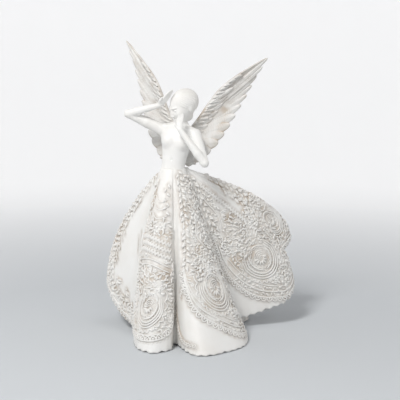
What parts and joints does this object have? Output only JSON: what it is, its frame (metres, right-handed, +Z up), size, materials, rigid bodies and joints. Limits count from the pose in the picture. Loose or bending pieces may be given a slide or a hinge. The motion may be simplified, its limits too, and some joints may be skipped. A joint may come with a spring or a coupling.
{
  "type": "resin angel figurine",
  "caption": "Standing angel figurine in ivory resin with raised wings, one hand by the head, one at the chin, and a wide folded skirt with lace-like relief and a lifted hem.",
  "frame": {"origin": "on the ground, on the felt pad's underside, straight below the middle of the waist", "axes": "+Z up; +X towards her left, the side of the lifted hem; -Y out of the front of the skirt"},
  "size_m": [0.1602, 0.152, 0.2417],
  "materials": {
    "skirt_resin": "ivory polyresin with raised lace relief and a thin beige antique wash, satin",
    "core_resin": "plain ivory polyresin, satin",
    "smooth_resin": "smooth white polyresin, satin",
    "wing_resin": "ivory polyresin with a gold-brown wash along the leading edge, satin",
    "felt": "short felt",
    "steel": "plain drawn wire"
  },
  "bodies": {
    "root": {"felt_pad": "felt", "underskirt": "core_resin", "skirt_shell": "skirt_resin", "waist_dowel": "steel", "torso": "smooth_resin", "head": "smooth_resin", "right_arm": "smooth_resin", "left_arm": "smooth_resin", "right_wing": "wing_resin", "left_wing": "wing_resin", "neck_pin": "steel", "arm_pins": "steel", "wing_pins": "steel"}
  },
  "joints": []
}
